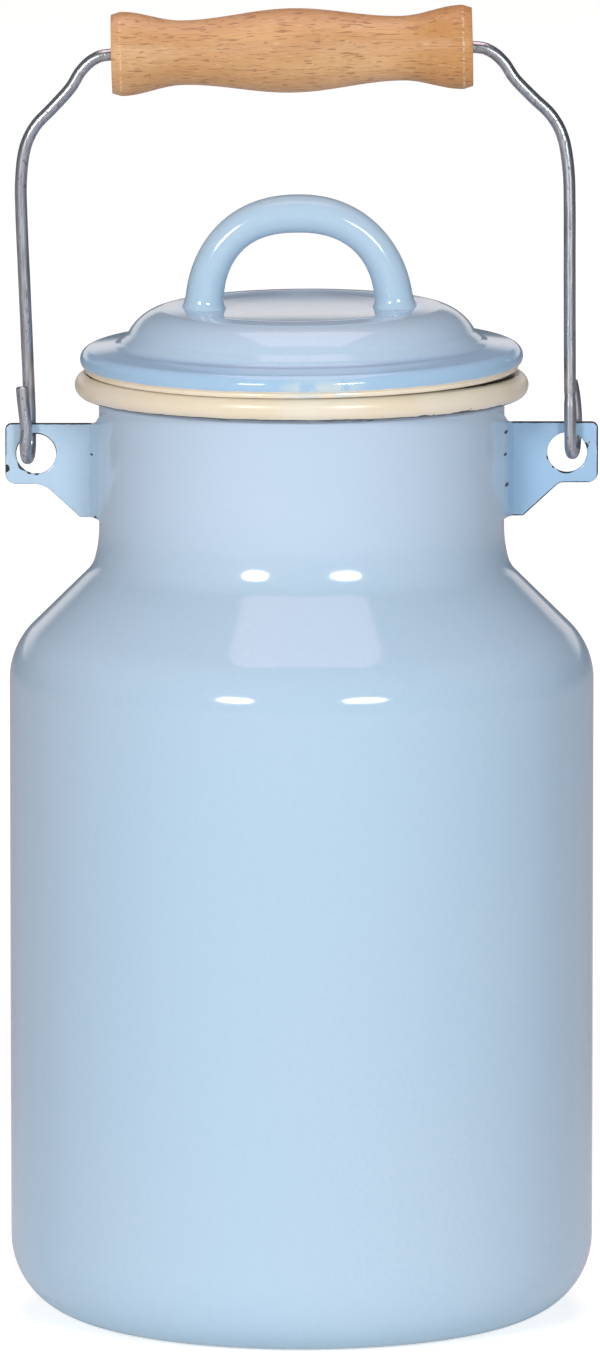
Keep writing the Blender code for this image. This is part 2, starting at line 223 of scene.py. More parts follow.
def inset(profile, depth):
    """The same profile, moved to its right-hand side by a depth."""
    moved = []
    for index, point in enumerate(profile):
        ahead = profile[min(index + 1, len(profile) - 1)]
        behind = profile[max(index - 1, 0)]
        along = (Vector(ahead) - Vector(behind)).normalized()
        moved.append((max(0.0, point[0] + along.y * depth), point[1] - along.x * depth))
    return moved


def finished(shape, name, materials, angle=40.0):
    """The bmesh as a smooth-shaded object in the scene."""
    bmesh.ops.recalc_face_normals(shape, faces=shape.faces)
    mesh = bpy.data.meshes.new(name)
    shape.to_mesh(mesh)
    shape.free()
    for material in materials:
        mesh.materials.append(material)
    mesh.shade_smooth()
    mesh.set_sharp_from_angle(angle=radians(angle))
    obj = bpy.data.objects.new(name, mesh)
    bpy.context.scene.collection.objects.link(obj)
    return obj


def lathe(name, profile, materials, slots=None, closed=False, segments=SEGMENTS):
    """A profile of (radius, height) points turned about Z. slots holds a material slot per stretch."""
    shape = bmesh.new()
    rings = []
    for radius, height in profile:
        if radius < MERGE:
            rings.append([shape.verts.new((0.0, 0.0, height))] * segments)
            continue
        ring = []
        for step in range(segments):
            angle = 2 * pi * step / segments
            ring.append(shape.verts.new((radius * cos(angle), radius * sin(angle), height)))
        rings.append(ring)
    if closed:
        rings.append(rings[0])
    for index, (ring, following) in enumerate(zip(rings, rings[1:])):
        for step in range(segments):
            after = (step + 1) % segments
            corners = dict.fromkeys((ring[step], ring[after], following[after], following[step]))
            face = shape.faces.new(corners)
            face.material_index = slots[index] if slots else 0
    return finished(shape, name, materials)


def sweep(name, path, radii, materials, sides=32):
    """A closed round bar along a path, with a radius at each of its points."""
    shape = bmesh.new()
    rings = []
    normal = Vector((0.0, 1.0, 0.0))
    for index, point in enumerate(path):
        ahead = path[min(index + 1, len(path) - 1)]
        behind = path[max(index - 1, 0)]
        along = (ahead - behind).normalized()
        normal = (normal - along * normal.dot(along)).normalized()
        side = along.cross(normal)
        ring = []
        for step in range(sides):
            angle = 2 * pi * step / sides
            ring.append(shape.verts.new(point + radii[index] * (normal * cos(angle) + side * sin(angle))))
        rings.append(ring)
    for ring, following in zip(rings, rings[1:]):
        for step in range(sides):
            after = (step + 1) % sides
            shape.faces.new((ring[step], ring[after], following[after], following[step]))
    shape.faces.new(rings[0])
    shape.faces.new(rings[-1])
    return finished(shape, name, materials)


def flat_plate(outlines, thickness):
    """Closed outlines in XZ, the first one the edge and the rest holes, as a plate about y = 0."""
    curve = bpy.data.curves.new("plate", "CURVE")
    curve.dimensions = "2D"
    curve.fill_mode = "BOTH"
    curve.extrude = thickness / 2
    for outline in outlines:
        spline = curve.splines.new("POLY")
        spline.points.add(len(outline) - 1)
        for point, place in zip(spline.points, outline):
            point.co = (*place, 0.0, 1.0)
        spline.use_cyclic_u = True
    plate = bpy.data.objects.new("plate", curve)
    bpy.context.scene.collection.objects.link(plate)
    plate.rotation_euler.x = pi / 2
    bpy.context.view_layer.update()
    mesh = bpy.data.meshes.new_from_object(plate.evaluated_get(bpy.context.evaluated_depsgraph_get()))
    mesh.transform(plate.matrix_world)
    bpy.data.objects.remove(plate, do_unlink=True)
    return mesh


def fused(name, meshes, voxel, smoothing, materials):
    """Closed meshes run together into one skin, with soft edges and filled corners, as enamel has."""
    shape = bmesh.new()
    for mesh in meshes:
        shape.from_mesh(mesh)
    bmesh.ops.remove_doubles(shape, verts=shape.verts, dist=MERGE)
    rough = finished(shape, name + "_rough", materials)
    remesh = rough.modifiers.new("fuse", "REMESH")
    remesh.mode = "VOXEL"
    remesh.voxel_size = voxel
    smooth = rough.modifiers.new("soften", "SMOOTH")
    smooth.factor = 0.5
    smooth.iterations = smoothing
    bpy.context.view_layer.update()
    mesh = bpy.data.meshes.new_from_object(rough.evaluated_get(bpy.context.evaluated_depsgraph_get()))
    bpy.data.objects.remove(rough, do_unlink=True)
    mesh.materials.clear()
    for material in materials:
        mesh.materials.append(material)
    mesh.shade_smooth()
    obj = bpy.data.objects.new(name, mesh)
    bpy.context.scene.collection.objects.link(obj)
    return obj


# ------------------------------------------------------------------ material helpers
class Graph:
    """Short names for the shader nodes that the materials are made of."""

    def __init__(self, name):
        self.material = bpy.data.materials.new(name)
        self.material.use_nodes = True
        self.tree = self.material.node_tree
        self.shader = self.tree.nodes["Principled BSDF"]
        self.place = self.tree.nodes.new("ShaderNodeTexCoord").outputs["Object"]

    def feed(self, socket, value):
        if isinstance(value, bpy.types.NodeSocket):
            self.tree.links.new(value, socket)
        elif isinstance(value, tuple) and len(value) == 3 and socket.type == "RGBA":
            socket.default_value = (*value, 1.0)
        else:
            socket.default_value = value

    def math(self, operation, first, second=0.0, third=0.0, clamp=False):
        node = self.tree.nodes.new("ShaderNodeMath")
        node.operation = operation
        node.use_clamp = clamp
        for socket, value in zip(node.inputs, (first, second, third)):
            self.feed(socket, value)
        return node.outputs[0]

    def step(self, value, low, high):
        """0 below low, 1 above high, smooth between; low above high turns it round."""
        node = self.tree.nodes.new("ShaderNodeMapRange")
        node.interpolation_type = "SMOOTHSTEP"
        self.feed(node.inputs["Value"], value)
        if low < high:
            limits = (low, high, 0.0, 1.0)
        else:
            limits = (high, low, 1.0, 0.0)
        for socket, limit in zip(("From Min", "From Max", "To Min", "To Max"), limits):
            self.feed(node.inputs[socket], limit)
        return node.outputs["Result"]

    def mix(self, share, first, second):
        """The first colour at share 0, the second at 1."""
        node = self.tree.nodes.new("ShaderNodeMix")
        node.data_type = "RGBA"
        self.feed(node.inputs["Factor"], share)
        self.feed(node.inputs[6], first)
        self.feed(node.inputs[7], second)
        return node.outputs[2]

    def split(self, vector):
        node = self.tree.nodes.new("ShaderNodeSeparateXYZ")
        self.feed(node.inputs[0], vector)
        return node.outputs

    def from_axis(self, sideways, depth):
        """Distance from the vertical axis, or from any point that both are measured from."""
        square = self.math("ADD", self.math("POWER", sideways, 2.0), self.math("POWER", depth, 2.0))
        return self.math("SQRT", square)

    def stretched(self, scale):
        """The object's coordinates, scaled on each axis."""
        node = self.tree.nodes.new("ShaderNodeVectorMath")
        node.operation = "MULTIPLY"
        self.feed(node.inputs[0], self.place)
        self.feed(node.inputs[1], scale)
        return node.outputs[0]

    def noise(self, scale, detail=2.0, vector=None, distortion=0.0):
        node = self.tree.nodes.new("ShaderNodeTexNoise")
        self.feed(node.inputs["Vector"], vector or self.place)
        self.feed(node.inputs["Scale"], scale)
        self.feed(node.inputs["Detail"], detail)
        self.feed(node.inputs["Distortion"], distortion)
        return node.outputs["Fac"]

    def spots(self, scale, radius, share, vector=None):
        """1 inside small round spots, one in the given share of a grid of cells."""
        node = self.tree.nodes.new("ShaderNodeTexVoronoi")
        self.feed(node.inputs["Vector"], vector or self.place)
        self.feed(node.inputs["Scale"], scale)
        near = self.step(node.outputs["Distance"], radius, radius * 0.6)
        chosen = self.math("LESS_THAN", self.split(node.outputs["Color"])[0], share)
        return self.math("MULTIPLY", near, chosen)

    def bump(self, height, strength, distance):
        node = self.tree.nodes.new("ShaderNodeBump")
        self.feed(node.inputs["Height"], height)
        self.feed(node.inputs["Strength"], strength)
        self.feed(node.inputs["Distance"], distance)
        self.tree.links.new(node.outputs[0], self.shader.inputs["Normal"])

    def finish(self, colour, roughness, metallic=0.0):
        self.feed(self.shader.inputs["Base Color"], colour)
        self.feed(self.shader.inputs["Roughness"], roughness)
        self.feed(self.shader.inputs["Metallic"], metallic)
        return self.material


# ------------------------------------------------------------------ colours
BLUE = (0.515, 0.685, 0.83)
BLUE_WARM = (0.55, 0.69, 0.82)
BLUE_MOTTLE = (0.49, 0.66, 0.805)
BLUE_DEEP = (0.43, 0.635, 0.83)
BLUE_BLADE_SHADE = (0.30, 0.52, 0.77)
BLUE_ROSY_REFLECTION = (0.63, 0.735, 0.88)
BLUE_CREASE_SHADE = (0.33, 0.47, 0.66)
BLUE_CREST_SHADE = (0.36, 0.64, 0.92)
BLUE_THIN = (0.74, 0.80, 0.76)
BLUE_PINHOLE = (0.16, 0.20, 0.24)
CREAM = (0.93, 0.785, 0.575)
CREAM_PALE = (0.96, 0.845, 0.68)
CREAM_PINHOLE = (0.30, 0.22, 0.14)
BARE_STEEL = (0.012, 0.012, 0.015)
BROWN_SHADOW = (0.13, 0.085, 0.05)
WIRE_DARK = (0.40, 0.40, 0.42)
WIRE_LIGHT = (0.60, 0.60, 0.63)
WIRE_SPECK = (0.12, 0.12, 0.13)
BEECH_DARK = (0.67, 0.345, 0.142)
BEECH_LIGHT = (0.81, 0.465, 0.22)
BEECH_END = (0.60, 0.265, 0.070)
BEECH_GRAIN = (0.50, 0.235, 0.085)
BEECH_FLECK = (0.30, 0.125, 0.045)
BEECH_PALE = (0.90, 0.66, 0.43)
BEECH_RUBBED = (0.86, 0.66, 0.46)
GLOSSY = (0.07, 0.12)
EAR_GLOSS = (0.08, 0.14)
INSIDE_GLOSS = (0.08, 0.15)
UNDERSIDE_GLOSS = (0.12, 0.25)


# ------------------------------------------------------------------ materials

def blue_colour(graph):
    """Pale blue that drifts a little warmer and cooler, with a fine mottle and a few pinholes."""
    drift = graph.step(graph.noise(11.0, 1.0), 0.30, 0.70)
    colour = graph.mix(drift, BLUE, BLUE_WARM)
    mottle = graph.step(graph.noise(900.0, 2.0), 0.35, 0.75)
    colour = graph.mix(graph.math("MULTIPLY", mottle, 0.5), colour, BLUE_MOTTLE)
    pinholes = graph.spots(42.0, 0.011, 0.10)
    return graph.mix(pinholes, colour, BLUE_PINHOLE)


def cream_colour(graph):
    """Cream that drifts paler, with a few brown pinholes."""
    drift = graph.step(graph.noise(60.0, 2.0), 0.3, 0.7)
    colour = graph.mix(drift, CREAM, CREAM_PALE)
    pinholes = graph.spots(90.0, 0.018, 0.05)
    return graph.mix(pinholes, colour, CREAM_PINHOLE)


def enamel_gloss(graph):
    """The shallow ripple that fired enamel has, and its slightly uneven gloss."""
    ripple = graph.math("ADD", graph.noise(75.0, 1.0), graph.math("MULTIPLY", graph.noise(420.0, 1.0), 0.12))
    graph.bump(ripple, 0.25, 0.00012)
    return graph.step(graph.noise(240.0, 2.0), -0.6, 1.6)


def gloss_range(graph, low, high):
    """Roughness that wanders between two values with the enamel's gloss."""
    node = graph.tree.nodes.new("ShaderNodeMapRange")
    graph.feed(node.inputs["Value"], enamel_gloss(graph))
    graph.feed(node.inputs["To Min"], low)
    graph.feed(node.inputs["To Max"], high)
    return node.outputs["Result"]


def can_material():
    """Blue over the body, cream over the rolled rim, and a worn dark line where the two meet.

    Where the lid sits on the front of the rim, a brown shadow is painted on the cream; the upper neck is
    painted a lighter, rosier blue as a reflection.
    """
    graph = Graph("can_enamel")
    sideways, depth, height = graph.split(graph.place)
    radius = graph.from_axis(sideways, depth)
    wander = graph.math("SUBTRACT", graph.noise(260.0, 4.0), 0.5)
    above = graph.math("SUBTRACT", height, RIM_FOOT_Z + 0.10 * MM)
    above = graph.math("MULTIPLY_ADD", wander, 0.40 * MM, above)
    cream_share = graph.step(above, -0.05 * MM, 0.05 * MM)
    # painted reflection: the upper neck is mixed toward a lighter, rosier blue that stands for bounce light
    # from the cream rim and lid
    on_neck = graph.step(height, EAR_BOTTOM - 20.5 * MM, EAR_BOTTOM + 9.5 * MM)
    rosy = graph.math("MULTIPLY", on_neck, 0.6)
    blue = graph.mix(rosy, blue_colour(graph), BLUE_ROSY_REFLECTION)
    colour = graph.mix(cream_share, blue, cream_colour(graph))
    right = graph.step(sideways, 6 * MM, 26 * MM)
    lumps = graph.step(graph.noise(210.0, 3.0), 0.44, 0.66)
    width = graph.math("MULTIPLY", lumps, graph.math("MULTIPLY_ADD", right, 0.26 * MM, 0.10 * MM))
    width = graph.math("ADD", width, 0.40 * MM)
    line = graph.math("LESS_THAN", graph.math("ABSOLUTE", above), width)
    specks = graph.math("MULTIPLY", graph.spots(900.0, 0.30, 0.10), graph.step(above, 1.6 * MM, 0.5 * MM))
    specks = graph.math("MULTIPLY", specks, graph.math("MULTIPLY", right, graph.step(above, 0.0, 0.1 * MM)))
    colour = graph.mix(graph.math("MAXIMUM", line, specks), colour, BARE_STEEL)
    # painted shadow: brown on the rim's top at the front, where the lid's lip shades it
    wear_and_shadow = graph.math("MULTIPLY_ADD", wander, 0.8 * MM, radius)
    wear_and_shadow = graph.step(wear_and_shadow, RIM_RADIUS + 1.1 * MM, RIM_RADIUS + 0.6 * MM)
    on_top = graph.step(height, RIM_HEIGHT + 0.5 * MM, RIM_HEIGHT + 1.8 * MM)
    in_front = graph.step(depth, 12 * MM, 0.0)
    wear_and_shadow = graph.math("MULTIPLY", wear_and_shadow, graph.math("MULTIPLY", on_top, in_front))
    colour = graph.mix(wear_and_shadow, colour, BROWN_SHADOW)
    roughness = graph.math("MULTIPLY_ADD", cream_share, 0.19, gloss_range(graph, *GLOSSY))
    return graph.finish(colour, roughness)


def cream_material():
    """Plain cream enamel, for the can's inside."""
    graph = Graph("cream_enamel_inside")
    return graph.finish(cream_colour(graph), gloss_range(graph, *INSIDE_GLOSS))


def underside_material():
    """Cream enamel, with a brown shadow painted where the lid's underside runs out to its lip."""
    graph = Graph("cream_enamel_underside")
    sideways, depth, height = graph.split(graph.place)
    radius = graph.from_axis(sideways, depth)
    # painted shadow: brown on the underside's outer ring and the plug ring, where the rim shades them
    radius = graph.math("MULTIPLY_ADD", graph.noise(200.0, 3.0), 1.5 * MM, radius)
    underside_shadow = graph.step(radius, 42.8 * MM, 44.4 * MM)
    above_seat = graph.step(height, -1.5 * MM, 0.5 * MM)
    colour = graph.mix(graph.math("MULTIPLY", underside_shadow, above_seat), cream_colour(graph), BROWN_SHADOW)
    return graph.finish(colour, gloss_range(graph, *UNDERSIDE_GLOSS))


def lid_material():
    """Blue over the lid, with painted shade in the crease and along the crest, thin over the brim so the
    cream shows, and a brown shadow painted along the lip's lowest edge.
    """
    graph = Graph("lid_enamel_blue")
    sideways, depth, height = graph.split(graph.place)
    radius = graph.from_axis(sideways, depth)
    wander = graph.math("SUBTRACT", graph.noise(300.0, 3.0), 0.5)
    above = graph.math("MULTIPLY_ADD", wander, 0.5 * MM, graph.math("SUBTRACT", height, 1.75 * MM))
    blue = graph.mix(graph.step(radius, 42.5 * MM, 46.5 * MM), blue_colour(graph), BLUE_DEEP)
    # painted shade: a darker blue along the crease, strongest at the front
    off_crease = graph.math("ABSOLUTE", graph.math("SUBTRACT", radius, CREASE_CENTRE[0] - 0.8 * MM))
    crease = graph.step(off_crease, 1.5 * MM, 0.2 * MM)
    in_front = graph.math("MULTIPLY_ADD", graph.step(depth, -15 * MM, -42 * MM), 0.75, 0.10)
    blue = graph.mix(graph.math("MULTIPLY", crease, in_front), blue, BLUE_CREASE_SHADE)
    # painted shade: a deeper, more saturated blue line along the crest's edge
    off_step = graph.math("ABSOLUTE", graph.math("SUBTRACT", radius, CREST_RADIUS + 0.4 * MM))
    crest_shade = graph.step(off_step, 1.6 * MM, 0.2 * MM)
    blue = graph.mix(graph.math("MULTIPLY", crest_shade, 0.55), blue, BLUE_CREST_SHADE)
    blue_share = graph.step(above, -0.15 * MM, 0.15 * MM)
    colour = graph.mix(blue_share, cream_colour(graph), blue)
    thin = graph.step(graph.noise(260.0, 4.0), 0.42, 0.58)
    low = graph.step(above, 3.8 * MM, 0.6 * MM)
    front = graph.step(depth, -45 * MM, -51 * MM)
    front = graph.math("MULTIPLY", front, graph.step(sideways, -8 * MM, 1 * MM))
    front = graph.math("MULTIPLY", front, graph.step(sideways, 17 * MM, 8 * MM))
    patches = graph.math("MULTIPLY", graph.math("MULTIPLY", thin, low), graph.math("MULTIPLY", front, 0.75))
    colour = graph.mix(patches, colour, BLUE_THIN)
    # painted shadow: brown along the lip's lowest edge, where it meets the rim
    under = graph.step(graph.math("MULTIPLY_ADD", wander, 0.2 * MM, height), 0.16 * MM, 0.04 * MM)
    colour = graph.mix(under, colour, BROWN_SHADOW)
    return graph.finish(colour, gloss_range(graph, *GLOSSY))


def handle_material():
    """Plain blue enamel."""
    graph = Graph("handle_enamel")
    return graph.finish(blue_colour(graph), gloss_range(graph, *EAR_GLOSS))


def ear_material(name, side, fillet, lift, blade_shade_share, wear, arcs, chips):
    """Blue enamel, worn back to bare dark steel along the cut edges, round the hole and at chips, with a
    darker blue painted on the blade as shade.

    blade_shade_share is the share of darker blue painted on the blade as shade. wear holds the bare width
    along the top, the upper and lower outer edge, and below. arcs holds bare stretches of the hole's edge
    as angles from outward, counter-clockwise, with their width. chips holds places and radii.
    """
    graph = Graph(name)
    across, depth, height = graph.split(graph.place)
    across = graph.math("MULTIPLY", across, side)
    height = graph.math("SUBTRACT", height, lift)
    run = EAR_SLANT_OUTER - EAR_SLANT_INNER
    rise = EAR_STEP - EAR_BOTTOM
    length = sqrt(run ** 2 + rise ** 2)
    slant = graph.math("MULTIPLY", graph.math("SUBTRACT", height, EAR_BOTTOM), run / length)
    slope = graph.math("MULTIPLY", graph.math("SUBTRACT", across, EAR_SLANT_INNER), rise / length)
    above_slant = graph.math("SUBTRACT", slant, slope)
    above_step = graph.math("SUBTRACT", height, EAR_STEP)
    above_low = graph.math("SMOOTH_MAX", above_step, above_slant, 1.15 * fillet)
    above_low = graph.math("MINIMUM", above_low, graph.math("SUBTRACT", height, EAR_BOTTOM))
    below_top = graph.math("SUBTRACT", EAR_TOP, height)
    inside_end = graph.math("SUBTRACT", EAR_REACH, across)
    on_blade = graph.math("GREATER_THAN", across, 50.4 * MM)
    ragged = graph.math("MULTIPLY_ADD", graph.noise(420.0, 3.0), 1.1, 0.42)
    upper = graph.step(height, 206.8 * MM, 208.2 * MM)
    end_wear = graph.math("MULTIPLY_ADD", upper, wear[1] - wear[2], wear[2])
    corner = graph.math("SUBTRACT", graph.math("ADD", below_top, inside_end), 1.1 * MM)
    bare = graph.math("LESS_THAN", below_top, graph.math("MULTIPLY", ragged, wear[0]))
    for distance, width in ((inside_end, end_wear), (corner, end_wear), (above_low, wear[3])):
        worn = graph.math("LESS_THAN", distance, graph.math("MULTIPLY", ragged, width))
        bare = graph.math("MAXIMUM", bare, worn)
    bare = graph.math("MULTIPLY", bare, on_blade)

    out = graph.math("SUBTRACT", across, EAR_HOLE_X)
    up = graph.math("SUBTRACT", height, EAR_HOLE_Z)
    angle = graph.math("ARCTAN2", up, out)
    from_rim = graph.math("SUBTRACT", graph.from_axis(out, up), EAR_HOLE_RADIUS + 0.1 * MM)
    for start, end, width in arcs:
        off_arc = graph.math("SUBTRACT", angle, radians((start + end) / 2))
        share = graph.math("DIVIDE", off_arc, radians((end - start) / 2))
        taper = graph.math("SUBTRACT", 1.0, graph.math("POWER", share, 2.0))
        reach = graph.math("MULTIPLY", graph.math("MULTIPLY", ragged, width), taper)
        bare = graph.math("MAXIMUM", bare, graph.math("LESS_THAN", from_rim, reach))

    uneven = graph.math("MULTIPLY", graph.math("SUBTRACT", graph.noise(1500.0, 3.0), 0.5), 0.5 * MM)
    for chip_x, chip_z, radius in chips:
        off_x = graph.math("SUBTRACT", across, chip_x)
        off_z = graph.math("SUBTRACT", height, chip_z)
        away = graph.math("ADD", graph.from_axis(off_x, off_z), uneven)
        chip = graph.math("LESS_THAN", away, radius)
        bare = graph.math("MAXIMUM", bare, graph.math("MULTIPLY", chip, graph.math("LESS_THAN", depth, 0.0)))
    # painted shade: a darker blue over the outer blade, much more on the right ear
    blade = graph.math("MULTIPLY", graph.step(across, 48.8 * MM, 49.8 * MM), blade_shade_share)
    colour = graph.mix(blade, blue_colour(graph), BLUE_BLADE_SHADE)
    colour = graph.mix(bare, colour, BARE_STEEL)
    roughness = graph.math("MULTIPLY_ADD", bare, 0.35, gloss_range(graph, *EAR_GLOSS))
    return graph.finish(colour, roughness)


def wire_material():
    """Drawn steel: grey, with fine lines along it, dull specks and a few scratches."""
    graph = Graph("drawn_steel")
    lines = graph.noise(1.0, 3.0, graph.stretched((2600.0, 2600.0, 120.0)))
    specks = graph.step(graph.noise(1.0, 3.0, graph.stretched((1500.0, 1500.0, 620.0))), 0.60, 0.72)
    tone = graph.mix(graph.step(lines, 0.35, 0.7), WIRE_DARK, WIRE_LIGHT)
    colour = graph.mix(graph.math("MULTIPLY", specks, 0.75), tone, WIRE_SPECK)
    roughness = graph.math("MULTIPLY_ADD", specks, 0.2, 0.31)
    graph.bump(graph.math("SUBTRACT", lines, specks), 0.35, 0.00006)
    return graph.finish(colour, roughness, 1.0)


def beech_material():
    """Turned beech: soft bands, fine grain and many short dark flecks along it, darker at one end."""
    graph = Graph("turned_beech")
    along = graph.split(graph.place)[2]
    broad = graph.noise(1.0, 2.0, graph.stretched((130.0, 130.0, 22.0)))
    colour = graph.mix(graph.step(broad, 0.3, 0.7), BEECH_DARK, BEECH_LIGHT)
    toward_end = graph.math("MULTIPLY_ADD", graph.math("SUBTRACT", broad, 0.5), 20 * MM, along)
    ended = graph.step(toward_end, 22 * MM, 36 * MM)
    colour = graph.mix(graph.math("MULTIPLY", ended, 0.75), colour, BEECH_END)
    grain = graph.noise(1.0, 4.0, graph.stretched((3200.0, 1500.0, 120.0)))
    colour = graph.mix(graph.math("MULTIPLY", graph.step(grain, 0.42, 0.72), 0.45), colour, BEECH_GRAIN)
    flecks = graph.step(graph.noise(1.0, 1.5, graph.stretched((2500.0, 1100.0, 260.0))), 0.60, 0.66)
    colour = graph.mix(graph.math("MULTIPLY", flecks, 0.60), colour, BEECH_FLECK)
    pale = graph.step(graph.noise(1.0, 2.0, graph.stretched((2900.0, 1200.0, 330.0))), 0.60, 0.74)
    colour = graph.mix(graph.math("MULTIPLY", pale, 0.40), colour, BEECH_PALE)
    at_edge = graph.math("SUBTRACT", GRIP_LENGTH / 2 - GRIP_CHAMFER, graph.math("ABSOLUTE", along))
    edge = graph.step(graph.math("ABSOLUTE", at_edge), 0.35 * MM, 0.1 * MM)
    wear_and_shadow = graph.math("MULTIPLY", edge, graph.step(graph.noise(900.0, 2.0), 0.40, 0.62))
    colour = graph.mix(graph.math("MULTIPLY", wear_and_shadow, 0.6), colour, BEECH_RUBBED)
    turned = graph.noise(1.0, 1.0, graph.stretched((0.0, 0.0, 3500.0)))
    height = graph.math("SUBTRACT", graph.math("MULTIPLY_ADD", turned, 0.5, grain), flecks)
    graph.bump(height, 0.35, 0.00007)
    return graph.finish(colour, graph.math("MULTIPLY_ADD", grain, 0.20, 0.34))


# ------------------------------------------------------------------ the can
def can_side(depth):
    """The sheet's face from the neck's foot to the middle of the floor, at a depth inside the skin."""
    slope = degrees(SHOULDER_SLOPE)
    lower_end = BODY_RADIUS - SHOULDER_FILLET * (1 - cos(SHOULDER_SLOPE))
    change = radians(NECK_FILLET_CHANGE)
    upper_gain = NECK_FILLET_UPPER * (1 - cos(change))
    lower_gain = NECK_FILLET_LOWER * (cos(change) - cos(SHOULDER_SLOPE))
    cone_height = (lower_end - NECK_RADIUS - upper_gain - lower_gain) / tan(SHOULDER_SLOPE)
    cone_top = SHOULDER_START + SHOULDER_FILLET * sin(SHOULDER_SLOPE) + cone_height
    change_z = cone_top + NECK_FILLET_LOWER * (sin(SHOULDER_SLOPE) - sin(change))
    upper_centre = (NECK_RADIUS + NECK_FILLET_UPPER, change_z + NECK_FILLET_UPPER * sin(change))
    lower_x = NECK_RADIUS + upper_gain + NECK_FILLET_LOWER * cos(change)
    lower_centre = (lower_x, change_z + NECK_FILLET_LOWER * sin(change))
    foot_inner = BODY_RADIUS - BASE_CORNER - FOOT_WIDTH
    points = arc(upper_centre, NECK_FILLET_UPPER + depth, 180, 180 + NECK_FILLET_CHANGE, 16)[:-1]
    points += arc(lower_centre, NECK_FILLET_LOWER + depth, 180 + NECK_FILLET_CHANGE, 180 + slope, 12)
    points += arc((BODY_RADIUS - SHOULDER_FILLET, SHOULDER_START), SHOULDER_FILLET - depth, slope, 0, 20)
    corner = arc((BODY_RADIUS - BASE_CORNER, BASE_CORNER), BASE_CORNER - depth, 0, -90, 28)
    floor = BASE_RECESS + depth
    recess = [(foot_inner, depth), (foot_inner - 2 * BASE_RECESS, floor), (0.0, floor)]
    return points + corner[:-1] + rounded(corner[-1:] + recess, 0.8 * MM)


def make_can():
    """Inside from the floor up, over the rolled rim, and down the outside to the middle of the base.

    The enamel fills the crevice where the roll's underside closes onto the neck.
    """
    inside = list(reversed(can_side(SHEET)))
    mouth = NECK_RADIUS - SHEET
    stretch = (RIM_RADIUS - mouth) / RIM_ROLL
    rim = []
    for x, z in arc((0.0, RIM_HEIGHT), RIM_ROLL, 180, 90, 20)[:-1]:
        rim.append((RIM_RADIUS + stretch * x, z))
    rim += arc((RIM_RADIUS, RIM_HEIGHT), RIM_ROLL, 90, RIM_FOOT, 36)
    seam = rounded([rim[-1], (NECK_RADIUS, RIM_FOOT_Z - 0.05 * MM), (NECK_RADIUS, RIM_FOOT_Z - 2 * MM)],
                   0.45 * MM)[1:]
    profile = inside + rim + seam + can_side(0.0)
    cream_stretches = len(inside)
    slots = [1] * cream_stretches + [0] * (len(profile) - 1 - cream_stretches)
    can = lathe("enamelled_can", profile, [can_material(), cream_material()], slots)
    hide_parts("can_shell")
    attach(can, "can")


# ------------------------------------------------------------------ the ears
def ear_outline(fillet):
    """The right ear's blade from the front, with its root run into the neck's sheet."""
    root = NECK_RADIUS - EAR_WELD
    outline = [(root, EAR_TOP)]
    outline += arc((EAR_REACH - 1.5 * MM, EAR_TOP - 1.5 * MM), 1.5 * MM, 90, 0, 8)
    outline += arc((EAR_REACH - 2.4 * MM, EAR_STEP + 2.4 * MM), 2.4 * MM, 0, -90, 8)
    corner = [(EAR_REACH - 2.4 * MM, EAR_STEP), (EAR_SLANT_OUTER, EAR_STEP), (EAR_SLANT_INNER, EAR_BOTTOM)]
    outline += rounded(corner, fillet, steps=8)[1:]
    outline += [(root, EAR_BOTTOM)]
    return outline


def flange_sector(side):
    """The strip bent round the neck and welded to it, thinning out towards its edge under the enamel."""
    shape = bmesh.new()
    inner = NECK_RADIUS - EAR_WELD
    steps = 24
    sections = []
    for step in range(steps + 1):
        share = step / steps
        angle = -radians(EAR_FLANGE_ANGLE) * share
        outer = NECK_RADIUS - 0.12 * MM + EAR_SHEET * (1 - smoothstep(0.1, 1.0, share))
        outer += EAR_FOLD * max(0.0, 1 - share / 0.3) ** 2
        top = EAR_TOP + (EAR_FLANGE_TOP - EAR_TOP) * smoothstep(0.0, 0.8, share)
        corners = []
        for radius, height in ((inner, EAR_BOTTOM), (outer, EAR_BOTTOM), (outer, top), (inner, top)):
            corners.append(shape.verts.new((side * radius * cos(angle), radius * sin(angle), height)))
        sections.append(corners)
    for section, following in zip(sections, sections[1:]):
        for corner in range(4):
            after = (corner + 1) % 4
            shape.faces.new((section[corner], section[after], following[after], following[corner]))
    shape.faces.new(sections[0])
    shape.faces.new(sections[-1])
    bmesh.ops.recalc_face_normals(shape, faces=shape.faces)
    mesh = bpy.data.meshes.new("flange")
    shape.to_mesh(mesh)
    shape.free()
    return mesh


def make_ear(name, node, side, fillet, lift, material):
    hole = arc((EAR_HOLE_X, EAR_HOLE_Z), EAR_HOLE_RADIUS, 0, 352.5, 47)
    outlines = []
    for outline in (ear_outline(fillet), hole):
        outlines.append([(side * x, z) for x, z in outline])
    blade = flat_plate(outlines, EAR_SHEET)
    ear = fused(name, [blade, flange_sector(side)], EAR_VOXEL, 6, [material])
    ear.data.transform(Matrix.Translation((0.0, 0.0, lift)))
    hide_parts(node)
    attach(ear, "can")


